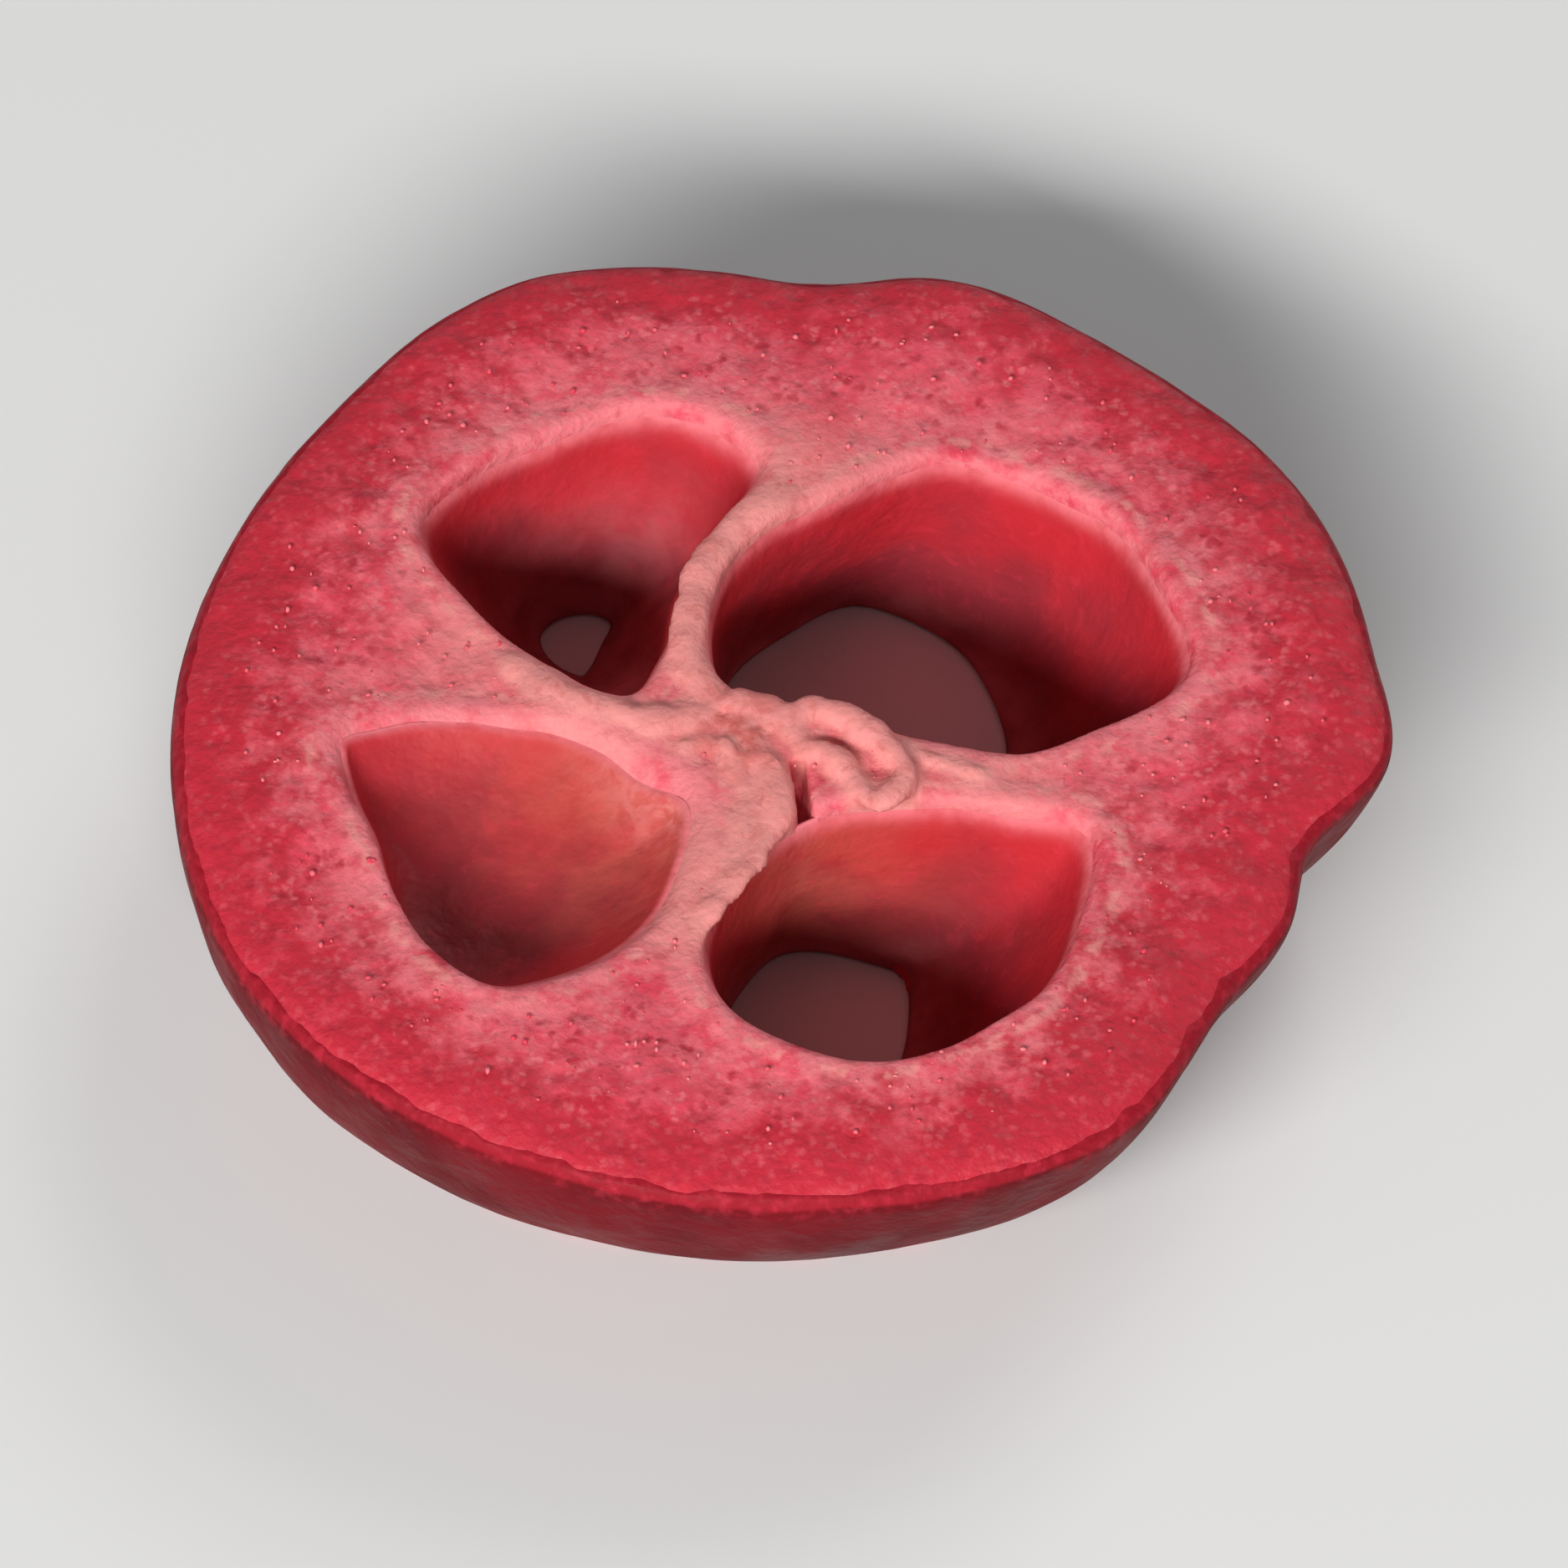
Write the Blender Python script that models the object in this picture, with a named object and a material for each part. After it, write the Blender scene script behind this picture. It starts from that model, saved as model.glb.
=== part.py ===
"""Freeze-dried cranberry slice: one cross-section of the berry, cut face up.

The slice lies on its underside. The cut face shows the four seed chambers of the
berry with the thin walls between them, the dry flesh round them and the skin at
the edge. Two chambers go right through, one narrows to a small hole, and one is
a closed pocket.
"""
import math

import bmesh
import bpy
from mathutils import Vector, noise

MM = 0.001

# The slice
FACE_RADIUS = 7.45 * MM
THICKNESS = 3.2 * MM
# The berry's widest plane lies this far above the cut face, so the skin narrows downwards
WIDEST_ABOVE_FACE = 0.7 * MM
# The berry's core leans, so the underside is not quite below the cut face
UNDERSIDE_SHIFT = Vector((-0.35 * MM, 0.10 * MM))
# Swellings and dents of the outline: angle and half width in degrees, change of radius
OUTLINE_CHANGES = (
    (116, 12, 0.50 * MM),
    (87, 6.5, -0.24 * MM),
    (70, 9, 0.12 * MM),
    (28, 12, 0.15 * MM),
    (-2, 6, 0.22 * MM),
    (-15, 6, -0.56 * MM),
    (-35, 10, -0.58 * MM),
    (-58, 8, 0.10 * MM),
    (-100, 22, -0.12 * MM),
    (-146, 16, 0.14 * MM),
)

# Relief of the two cut faces
FACE_SWELL = 0.14 * MM
FACE_SWELL_LENGTH = 3.2 * MM
FACE_RIPPLE = 0.06 * MM
FACE_RIPPLE_LENGTH = 1.1 * MM
RIM_DROP = 0.22 * MM
RIM_DROP_WIDTH = 0.35 * MM
UNDERSIDE_LIFT = 0.20 * MM
UNDERSIDE_LIFT_WIDTH = 0.40 * MM
SKIN_RIPPLE = 0.07 * MM
SKIN_RIPPLE_LENGTH = 1.6 * MM

# Mesh fineness
SEGMENTS = 88
FACE_RINGS = (0.975, 0.93, 0.87, 0.80, 0.72, 0.64, 0.56, 0.46, 0.34, 0.20)
UNDERSIDE_RINGS = (0.97, 0.90, 0.76, 0.58, 0.36)
SKIN_STEPS = 6
CHAMBER_SEGMENTS = 36
WALL_STEPS = 6

# Raised lip round each chamber, and how far its middle sits below the face
LIP_RADIUS = 0.36 * MM
LIP_SINK = 0.20 * MM
LIP_SEGMENTS = 30
OVERCUT = 0.6 * MM

# Chambers: corners of the mouth on the cut face in mm, anticlockwise from the right.
# The throat is the lower end's width and depth as a share of the mouth's, and the
# drift is how far its middle lies from the mouth's. A blind chamber has a floor.
CHAMBERS = {
    "back_right": {
        "mouth": ((5.10, 0.80), (4.25, 3.05), (2.20, 4.20), (0.55, 3.45), (-0.70, 2.35),
                  (-0.72, 0.70), (0.85, 0.05), (3.10, -0.42)),
        "throat": (0.62, 0.84),
        "drift": (-1.00 * MM, 0.45 * MM),
        "floor": None,
    },
    "back_left": {
        "mouth": ((-0.20, 4.10), (-1.40, 4.95), (-3.40, 4.30), (-4.40, 3.20), (-3.60, 1.70),
                  (-2.00, 0.45), (-1.42, 1.20), (-1.10, 2.75)),
        "throat": (0.21, 0.21),
        "drift": (-0.30 * MM, 0.75 * MM),
        "floor": None,
    },
    "front_left": {
        "mouth": ((-0.85, -1.45), (-1.45, -0.68), (-3.20, 0.05), (-5.40, -0.10),
                  (-4.85, -1.75), (-4.30, -3.35), (-3.20, -4.15), (-1.60, -3.15)),
        "throat": (0.50, 0.52),
        "drift": (-0.65 * MM, -0.35 * MM),
        "floor": 1.25 * MM,
    },
    "front_right": {
        "mouth": ((3.85, -1.65), (2.00, -1.28), (0.35, -1.50), (-0.85, -3.00),
                  (-0.55, -4.45), (1.15, -5.25), (2.90, -4.50), (3.70, -3.20)),
        "throat": (0.50, 0.80),
        "drift": (-1.10 * MM, 0.45 * MM),
        "floor": None,
    },
}
# Walls fall away steeply under the mouth and close in lower down
WALL_CURVE = 1.7
FLOOR_CURVE = 1.7

# Torn tissue of the core: a curl beside the middle and the ridge that runs to the front
TISSUE_RADIUS = 0.24 * MM
TISSUE_RISE = 0.04 * MM
TISSUE_SEGMENTS = 22
TISSUE_STRANDS = {
    "curl": ((-0.75, 0.20), (0.10, -0.05), (0.75, -0.30), (1.40, -0.62), (1.62, -1.05),
             (1.15, -1.12), (0.72, -0.78), (0.20, -0.62)),
    "ridge": ((-0.85, -3.05), (-0.35, -2.30), (-0.15, -1.55), (-0.35, -0.80), (-0.70, -0.15)),
    "partition": ((0.15, 3.75), (-0.70, 3.05), (-1.05, 2.00), (-1.00, 0.95), (-0.72, 0.30)),
}

FLESH_COLOR = (0.62, 0.10, 0.13, 1.0)
FLESH_ROUGHNESS = 0.8
SMOOTH_ANGLE = math.radians(50)
MERGE_DISTANCE = 0.002 * MM


def angle_gap(a, b):
    """Smallest difference between two angles in degrees."""
    return (a - b + 180.0) % 360.0 - 180.0


def outline_radius(angle):
    """Radius of the cut face's edge at an angle in radians."""
    degrees = math.degrees(angle)
    radius = FACE_RADIUS
    for centre, half_width, change in OUTLINE_CHANGES:
        radius += change * math.exp(-0.5 * (angle_gap(degrees, centre) / half_width) ** 2)
    return radius


def skin_share(depth):
    """Share of the face's radius that the skin keeps at a depth below the face."""
    berry = math.hypot(FACE_RADIUS, WIDEST_ABOVE_FACE)
    return math.sqrt(berry ** 2 - (WIDEST_ABOVE_FACE + depth) ** 2) / FACE_RADIUS


def relief(x, y, length, height, seed):
    """Smooth unevenness of a face."""
    return height * noise.noise(Vector((x / length, y / length, seed)))


def face_height(x, y):
    """Height of the cut face, which drops a little towards the skin."""
    edge_gap = max(0.0, outline_radius(math.atan2(y, x)) - math.hypot(x, y))
    height = THICKNESS - FACE_SWELL - FACE_RIPPLE
    height += relief(x, y, FACE_SWELL_LENGTH, FACE_SWELL, 2.7)
    height += relief(x, y, FACE_RIPPLE_LENGTH, FACE_RIPPLE, 8.1)
    return height - RIM_DROP * math.exp(-edge_gap / RIM_DROP_WIDTH)


def skin_ring(share):
    """One ring of the skin, from the face's edge (0) to the underside's edge (1)."""
    ring = []
    for step in range(SEGMENTS):
        angle = math.tau * step / SEGMENTS
        top = outline_radius(angle)
        top_z = face_height(top * math.cos(angle), top * math.sin(angle))
        z = top_z + (UNDERSIDE_LIFT - top_z) * share
        radius = top * skin_share(THICKNESS * share)
        place = Vector((radius * math.cos(angle), radius * math.sin(angle), z))
        radius += SKIN_RIPPLE * noise.noise(place / SKIN_RIPPLE_LENGTH) * math.sin(math.pi * share)
        ring.append(Vector((
            radius * math.cos(angle) + UNDERSIDE_SHIFT.x * share,
            radius * math.sin(angle) + UNDERSIDE_SHIFT.y * share,
            z,
        )))
    return ring


def face_ring(share):
    """One ring of the cut face at a share of its outline."""
    ring = []
    for step in range(SEGMENTS):
        angle = math.tau * step / SEGMENTS
        radius = share * outline_radius(angle)
        x = radius * math.cos(angle)
        y = radius * math.sin(angle)
        ring.append(Vector((x, y, face_height(x, y))))
    return ring


def underside_ring(share):
    """One ring of the underside, flat at zero but for its rim, which turns up a little."""
    ring = []
    for step in range(SEGMENTS):
        angle = math.tau * step / SEGMENTS
        edge = outline_radius(angle) * skin_share(THICKNESS)
        radius = share * edge
        lift = UNDERSIDE_LIFT * (1.0 - (edge - radius) / UNDERSIDE_LIFT_WIDTH)
        ring.append(Vector((
            radius * math.cos(angle) + UNDERSIDE_SHIFT.x,
            radius * math.sin(angle) + UNDERSIDE_SHIFT.y,
            max(0.0, lift),
        )))
    return ring


def loft(name, rings, centres=False):
    """A closed body through rings from top to bottom, its ends fanned or left flat."""
    mesh = bmesh.new()
    loops = [[mesh.verts.new(point) for point in ring] for ring in rings]
    for upper, lower in zip(loops, loops[1:]):
        for i, corner in enumerate(upper):
            j = (i + 1) % len(upper)
            mesh.faces.new((corner, lower[i], lower[j], upper[j]))
    for loop, outward in ((loops[0], True), (loops[-1], False)):
        around = loop if outward else loop[::-1]
        if not centres:
            mesh.faces.new(around)
            continue
        middle = sum((corner.co for corner in loop), Vector()) / len(loop)
        hub = mesh.verts.new(middle)
        for i, corner in enumerate(around):
            mesh.faces.new((corner, around[(i + 1) % len(around)], hub))
    data = bpy.data.meshes.new(name)
    mesh.to_mesh(data)
    mesh.free()
    return bpy.data.objects.new(name, data)


def through_points(points, count, closed):
    """Points evenly shared along a smooth curve that passes through the given ones."""
    spans = len(points) if closed else len(points) - 1
    result = []
    for step in range(count):
        place = spans * step / (count if closed else count - 1)
        span = min(int(place), spans - 1)
        t = place - span
        if closed:
            a, b, c, d = (Vector(points[(span + k) % len(points)]) for k in (-1, 0, 1, 2))
        else:
            last = len(points) - 1
            a, b, c, d = (Vector(points[min(max(span + k, 0), last)]) for k in (-1, 0, 1, 2))
        result.append(0.5 * (
            2 * b + (c - a) * t + (2 * a - 5 * b + 4 * c - d) * t ** 2
            + (3 * b - a - 3 * c + d) * t ** 3
        ))
    return [point * MM for point in result]


def tube(name, path, radius, closed):
    """A round strand along a path, made a mesh so that it can be joined to the slice."""
    curve = bpy.data.curves.new(name, "CURVE")
    curve.dimensions = "3D"
    curve.bevel_depth = radius
    curve.bevel_resolution = 1
    curve.use_fill_caps = True
    spline = curve.splines.new("POLY")
    spline.points.add(len(path) - 1)
    for point, place in zip(spline.points, path):
        point.co = (*place, 1.0)
    spline.use_cyclic_u = closed
    guide = bpy.data.objects.new(name + "_guide", curve)
    bpy.context.scene.collection.objects.link(guide)
    evaluated = guide.evaluated_get(bpy.context.evaluated_depsgraph_get())
    data = bpy.data.meshes.new_from_object(evaluated)
    mesh = bmesh.new()
    mesh.from_mesh(data)
    bmesh.ops.remove_doubles(mesh, verts=mesh.verts, dist=MERGE_DISTANCE)
    bmesh.ops.recalc_face_normals(mesh, faces=mesh.faces)
    mesh.to_mesh(data)
    mesh.free()
    bpy.data.objects.remove(guide)
    return bpy.data.objects.new(name, data)


def make_body():
    """The plain slice: cut face, skin and underside, with no chambers yet."""
    rings = [face_ring(share) for share in FACE_RINGS[::-1]]
    rings += [skin_ring(step / SKIN_STEPS) for step in range(SKIN_STEPS + 1)]
    rings += [underside_ring(share) for share in UNDERSIDE_RINGS]
    return loft("cranberry_slice", rings, centres=True)


def make_lip(name, chamber):
    """The raised edge of the membrane that lines a chamber."""
    path = []
    for point in through_points(chamber["mouth"], LIP_SEGMENTS, closed=True):
        path.append((point.x, point.y, face_height(point.x, point.y) - LIP_SINK))
    return tube(name + "_lip", path, LIP_RADIUS, closed=True)


def make_strand(name, corners):
    """Torn tissue of the core, lying on the face."""
    path = []
    for point in through_points(corners, TISSUE_SEGMENTS, closed=False):
        path.append((point.x, point.y, face_height(point.x, point.y) + TISSUE_RISE))
    return tube(name + "_tissue", path, TISSUE_RADIUS, closed=False)


def make_chamber(name, chamber):
    """The hollow of one chamber, from above the cut face to its floor or the underside."""
    mouth = through_points(chamber["mouth"], CHAMBER_SEGMENTS, closed=True)
    middle = sum(mouth, Vector((0.0, 0.0))) / len(mouth)
    blind = chamber["floor"] is not None
    depth = chamber["floor"] if blind else THICKNESS
    throat = Vector(chamber["throat"])
    drift = Vector(chamber["drift"])
    rings = [[Vector((point.x, point.y, THICKNESS + OVERCUT)) for point in mouth]]
    for step in range(WALL_STEPS + 1):
        share = step / WALL_STEPS
        close = share ** (FLOOR_CURVE if blind else WALL_CURVE)
        width = 1.0 + (throat.x - 1.0) * close
        length = 1.0 + (throat.y - 1.0) * close
        ring = []
        for point in mouth:
            across = point - middle
            ring.append(Vector((
                middle.x + drift.x * close + across.x * width,
                middle.y + drift.y * close + across.y * length,
                THICKNESS - depth * share,
            )))
        rings.append(ring)
    if not blind:
        rings.append([Vector((point.x, point.y, -OVERCUT)) for point in rings[-1]])
    hollow = loft(name + "_hollow", rings)
    hollow.hide_render = True
    hollow.display_type = "WIRE"
    return hollow


def apply_boolean(body, operation, tools):
    """Joins or cuts with a collection of tools at once, and keeps the result."""
    cut = body.modifiers.new(operation.title(), "BOOLEAN")
    cut.operation = operation
    cut.solver = "EXACT"
    cut.operand_type = "COLLECTION"
    cut.collection = tools
    evaluated = body.evaluated_get(bpy.context.evaluated_depsgraph_get())
    result = bpy.data.meshes.new_from_object(evaluated)
    body.modifiers.clear()
    body.data = result


def collect(name, objects):
    """Puts objects in a new collection of the scene."""
    group = bpy.data.collections.new(name)
    bpy.context.scene.collection.children.link(group)
    for item in objects:
        group.objects.link(item)
    return group


def discard(group):
    """Removes a collection and what is in it."""
    for item in list(group.objects):
        bpy.data.objects.remove(item)
    bpy.data.collections.remove(group)


def clean(body):
    """Merges the slivers that the cuts leave, and sets the slice over the origin."""
    mesh = bmesh.new()
    mesh.from_mesh(body.data)
    bmesh.ops.remove_doubles(mesh, verts=mesh.verts, dist=MERGE_DISTANCE)
    bmesh.ops.dissolve_degenerate(mesh, edges=mesh.edges, dist=MERGE_DISTANCE)
    bmesh.ops.triangulate(mesh, faces=mesh.faces)
    for axis in (0, 1):
        reach = [vert.co[axis] for vert in mesh.verts]
        middle = (min(reach) + max(reach)) / 2
        for vert in mesh.verts:
            vert.co[axis] -= middle
    mesh.to_mesh(body.data)
    mesh.free()


def flesh_material():
    """Dry, matt, pink-red flesh."""
    material = bpy.data.materials.new("dried_flesh")
    material.use_nodes = True
    shader = material.node_tree.nodes["Principled BSDF"]
    shader.inputs["Base Color"].default_value = FLESH_COLOR
    shader.inputs["Roughness"].default_value = FLESH_ROUGHNESS
    shader.inputs["Metallic"].default_value = 0.0
    return material


def main():
    """Builds the slice."""
    for item in list(bpy.data.objects):
        bpy.data.objects.remove(item)
    body = make_body()
    collect("cranberry_slice", [body])

    raised = [make_lip(name, chamber) for name, chamber in CHAMBERS.items()]
    raised += [make_strand(name, corners) for name, corners in TISSUE_STRANDS.items()]
    ridges = collect("ridges", raised)
    apply_boolean(body, "UNION", ridges)
    discard(ridges)

    hollows = collect("hollows", [make_chamber(name, chamber) for name, chamber in CHAMBERS.items()])
    apply_boolean(body, "DIFFERENCE", hollows)
    discard(hollows)

    clean(body)
    body.data.materials.clear()
    body.data.materials.append(flesh_material())
    body.data.shade_smooth()
    body.data.set_sharp_from_angle(angle=SMOOTH_ANGLE)


main()
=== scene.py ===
"""Looks of a freeze-dried cranberry slice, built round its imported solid.

The slice is described by signed distances on a fine grid: the plain slice, less
its four chambers, with lips, pores and grain on the cut faces, and the ribbons and the
slit of the core. The flesh is the surface of that field. The skin and the chamber
linings are thin membranes laid on it, and crumbs of dry flesh lie on top.
All lengths in the field are in mm, and the meshes are in metres.
"""
import math

import bmesh
import bpy
import numpy as np
from bpy.props import FloatProperty, FloatVectorProperty, IntProperty, PointerProperty
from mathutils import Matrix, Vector, noise


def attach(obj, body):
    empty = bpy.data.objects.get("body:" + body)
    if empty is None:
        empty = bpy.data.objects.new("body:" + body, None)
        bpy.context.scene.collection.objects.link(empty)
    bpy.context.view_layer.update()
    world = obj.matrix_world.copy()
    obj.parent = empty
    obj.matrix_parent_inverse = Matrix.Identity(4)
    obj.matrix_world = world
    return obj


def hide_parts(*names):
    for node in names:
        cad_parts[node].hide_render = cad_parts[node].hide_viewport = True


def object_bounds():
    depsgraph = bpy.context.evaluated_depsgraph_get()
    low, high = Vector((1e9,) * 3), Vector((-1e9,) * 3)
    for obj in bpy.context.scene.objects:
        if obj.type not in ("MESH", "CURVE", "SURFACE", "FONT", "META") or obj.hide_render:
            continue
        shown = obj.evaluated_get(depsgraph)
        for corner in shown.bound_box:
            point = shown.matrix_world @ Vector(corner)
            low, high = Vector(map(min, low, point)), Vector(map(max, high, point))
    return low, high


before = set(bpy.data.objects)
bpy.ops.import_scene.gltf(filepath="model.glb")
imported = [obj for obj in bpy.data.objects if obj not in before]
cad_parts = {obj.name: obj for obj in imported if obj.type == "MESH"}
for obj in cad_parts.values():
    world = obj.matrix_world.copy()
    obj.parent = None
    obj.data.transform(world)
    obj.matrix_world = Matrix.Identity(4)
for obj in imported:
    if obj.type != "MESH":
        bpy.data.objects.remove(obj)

bl_info = {
    "name": "Freeze-dried cranberry slice",
    "version": (1, 0, 0),
    "blender": (4, 5, 0),
    "location": "View3D > Sidebar > Cranberry",
    "description": "Builds a dry cranberry slice with porous flesh, skin, chamber linings and core tissue",
    "category": "Add Mesh",
}

NODE = "cranberry_slice"
BODY = "root"
MM = 0.001
CAD_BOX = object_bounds()

# The slice, as in the solid
FACE_RADIUS = 7.45
THICKNESS = 3.2
WIDEST_ABOVE_FACE = 0.7
UNDERSIDE_SHIFT = (-0.35, 0.10)
OUTLINE_CHANGES = (
    (116, 12, 0.50),
    (87, 6.5, -0.24),
    (70, 9, 0.12),
    (28, 12, 0.15),
    (-2, 6, 0.22),
    (-15, 6, -0.56),
    (-35, 10, -0.58),
    (-58, 8, 0.10),
    (-100, 22, -0.12),
    (-146, 16, 0.14),
)
FACE_SWELL = 0.14
FACE_SWELL_LENGTH = 3.2
FACE_RIPPLE = 0.06
FACE_RIPPLE_LENGTH = 1.1
RIM_DROP = 0.22
RIM_DROP_WIDTH = 0.35
UNDERSIDE_LIFT = 0.20
UNDERSIDE_LIFT_WIDTH = 0.40
SKIN_RIPPLE = 0.07
SKIN_RIPPLE_LENGTH = 1.6
SEGMENTS = 88
SKIN_STEPS = 6

# Chambers: corners of the mouth, then the throat's share of it, its drift and the floor's depth, the reach
# of the amber beside the core, and the reach of the pale band at the lining's lower end, which is partly
# painted sheen
CHAMBERS = {
    "back_right": {
        "mouth": ((5.10, 0.80), (4.25, 3.05), (2.20, 4.20), (0.55, 3.45), (-0.70, 2.35),
                  (-0.72, 0.70), (0.85, 0.05), (3.10, -0.42)),
        "throat": (0.62, 0.84),
        "drift": (-1.00, 0.45),
        "floor": None,
        "amber": 1.6,
        "thin": 0.13,
    },
    "back_left": {
        "mouth": ((-0.20, 4.10), (-1.40, 4.95), (-3.40, 4.30), (-4.40, 3.20), (-3.60, 1.70),
                  (-2.00, 0.45), (-1.42, 1.20), (-1.10, 2.75)),
        "throat": (0.21, 0.21),
        "drift": (-0.30, 0.75),
        "floor": None,
        "amber": 1.9,
        # The pale band reaches further up here: painted light on the funnel's shaded lower part, partly the
        # thin tissue's paler colour.
        "thin": 0.50,
    },
    "front_left": {
        "mouth": ((-0.85, -1.45), (-1.45, -0.68), (-3.20, 0.05), (-5.40, -0.10),
                  (-4.85, -1.75), (-4.30, -3.35), (-3.20, -4.15), (-1.60, -3.15)),
        "throat": (0.50, 0.52),
        "drift": (-0.65, -0.35),
        "floor": 1.25,
        "amber": 2.6,
        "thin": 0.13,
    },
    "front_right": {
        "mouth": ((3.85, -1.65), (2.00, -1.28), (0.35, -1.50), (-0.85, -3.00),
                  (-0.55, -4.45), (1.15, -5.25), (2.90, -4.50), (3.70, -3.20)),
        "throat": (0.50, 0.80),
        "drift": (-1.10, 0.45),
        "floor": None,
        "amber": 2.0,
        "thin": 0.13,
    },
}
WALL_CURVE = 1.7
FLOOR_CURVE = 1.7
FLOOR_ROUND = 0.55
MOUTH_POINTS = 96

# Ribbons of the core: half width, half height, rise above the face, and middle line on it
RIBBONS = {
    "curl": (0.155, 0.11, 0.07, (
        (-0.72, 0.22), (-0.45, 0.28), (-0.12, 0.20), (0.12, 0.02), (0.50, 0.14), (0.95, -0.04),
        (1.38, -0.50), (1.62, -0.98), (1.30, -1.30), (0.98, -1.05), (0.72, -0.68), (0.48, -0.38))),
    "fold": (0.1, 0.09, 0.02, (
        (-0.62, -0.02), (-0.30, -0.10), (0.05, -0.12), (0.28, -0.30), (0.42, -0.52))),
    "fold_low": (0.08, 0.08, 0.04, (
        (-0.70, -0.35), (-0.42, -0.62), (-0.20, -0.55), (0.02, -0.72))),
    "fold_left": (0.08, 0.07, 0.02, (
        (-1.25, -0.42), (-0.95, -0.30), (-0.72, -0.48), (-0.52, -0.95))),
    "back": (0.19, 0.09, 0.01, (
        (0.12, 3.62), (-0.25, 3.30), (-0.66, 2.90), (-0.98, 2.35), (-1.10, 1.75), (-1.08, 1.10),
        (-0.90, 0.55), (-0.62, 0.10))),
    "left": (0.19, 0.1, 0.03, (
        (-3.35, 0.98), (-2.90, 0.62), (-2.35, 0.27), (-1.70, 0.02), (-1.15, 0.04), (-0.75, 0.10))),
    "front": (0.15, 0.08, 0.02, (
        (-0.95, -3.30), (-0.60, -2.65), (-0.24, -2.05), (-0.03, -1.45), (-0.04, -0.95), (-0.30, -0.40),
        (-0.60, 0.02))),
    "front_strand": (0.11, 0.07, 0.0, (
        (-0.62, -2.40), (-0.48, -1.80), (-0.38, -1.25), (-0.44, -0.70), (-0.62, -0.20))),
    "right": (0.11, 0.09, -0.01, (
        (0.85, -0.22), (1.35, -0.42), (1.95, -0.70), (2.60, -0.86))),
}
SLIT = ((0.26, -0.66), (0.30, -1.00), (0.34, -1.35), (0.40, -1.75))
SLIT_HALF_WIDTH = 0.10
SLIT_DEPTH = 0.55

# Colour of the flesh: the core's heart, whose darker blotches are partly painted shade, the painted shade
# in the creases beside the ribbons, the pale fans at the outer ends of the walls (a place, a reach and a
# strength), and the ranges over which the core's tissue fades with the walls' thickness and with depth, and
# the lining's colour comes in with depth and with the gap
CORE = (-0.45, -0.25)
CORE_REACH = 0.7
CREASES = (0.30, -0.45)
CREASES_REACH = 1.1
CREASE_GAP = 0.09
CREASE_WIDTH = 0.07
RIBBON_REACH = 0.11
FANS = ((0.25, 3.85, 0.95, 0.60), (-3.70, 1.20, 0.95, 0.45), (2.70, -0.85, 1.00, 0.35))
PALE_REACH = 1.10
WALL_WIDTHS = (0.6, 1.2)
CORE_LEVELS = (THICKNESS - 0.9, THICKNESS - 0.4)
LINED_DEPTHS = (0.22, 0.47)
LINED_GAPS = (0.06, 0.12)
CALM_BAND = 0.5

# Lights: azimuth and rise in degrees, then distance, width and height in metres
LIGHTS = {
    "key": (-108, 32, 0.30, 0.34, 0.06),
    "fill": (62, 30, 0.35, 0.20, 0.20),
}
FLOOR_SIZE = 3.0
FLOOR_COLOUR = (0.78, 0.775, 0.765, 1.0)
SKY_COLOUR = (0.93, 0.95, 1.0, 1.0)
SKY_TOP_SHARE = 0.22

# Numbers of the fields and of random values, in mm or as counts
RIBBON_POINTS = 140
GRID_STEP = 0.07
GRID_MARGIN = 0.35
LATTICE = 64
FAR = 9.0
BLEND_EDGE = 0.30
BLEND_MOUTH = 0.16
BLEND_RIBBON = 0.10
MOUTH_ROUNDING = 0.65
WALL_GAP = 0.025
SKIN_AROUND = 720
SKIN_ROWS = (9, 58, 8)
SKIN_OVER = 0.22
SKIN_UNDER = 0.16
SKIN_PROUD = -0.005
SKIN_BURIED = 0.05
LINING_AROUND = 260
LINING_DOWN = 44
LINING_PROUD = -0.01
LINING_BURIED = 0.07
LINING_END = 0.05
POCKET_SHADE = 2.0
LINING_START = 0.13
LINING_BED = 18
CAP_MERGE = 1e-7
PORE_SIZE = (0.05, 0.13)
PORE_REACH = 5
CRUMB_SIZE = (0.018, 0.040)


def smooth_max(a, b, width):
    """The larger of two distances, rounded where they meet."""
    overlap = np.maximum(width - np.abs(a - b), 0.0) / width
    return np.maximum(a, b) + overlap * overlap * width / 4.0


def smooth_min(a, b, width):
    """The smaller of two distances, rounded where they meet."""
    return -smooth_max(-a, -b, width)


def grain(x, y, z, length, seed):
    """Smooth random values from -1 to 1, whose bumps are about as wide as length."""
    table = np.random.default_rng(seed).uniform(-1.0, 1.0, (LATTICE,) * 3).astype(np.float32)
    low = []
    share = []
    for axis in (x, y, z):
        place = np.asarray(axis, np.float32) / length
        start = np.floor(place)
        low.append(start.astype(np.int32))
        part = place - start
        share.append(part * part * (3.0 - 2.0 * part))
    total = 0.0
    for i in (0, 1):
        for j in (0, 1):
            for k in (0, 1):
                weight = share[0] if i else 1.0 - share[0]
                weight = weight * (share[1] if j else 1.0 - share[1])
                weight = weight * (share[2] if k else 1.0 - share[2])
                corner = ((low[0] + i) % LATTICE, (low[1] + j) % LATTICE, (low[2] + k) % LATTICE)
                total = total + weight * table[corner]
    return total


def flat_grain(x, y, length, seed):
    """The same kind of values over flat places."""
    return grain(x, y, 0.0 * x, length, seed)


def hill(distance, reach, power=2.0):
    """1 at a distance of 0, falling smoothly to almost nothing past the reach."""
    return np.exp(-(distance / reach) ** power)


def between(value, low, high):
    """How far a value is on its way from low to high, from 0 to 1."""
    return np.clip((value - low) / (high - low), 0.0, 1.0)


def angle_gap(a, b):
    """Smallest difference between two angles in degrees."""
    return (a - b + 180.0) % 360.0 - 180.0


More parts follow.
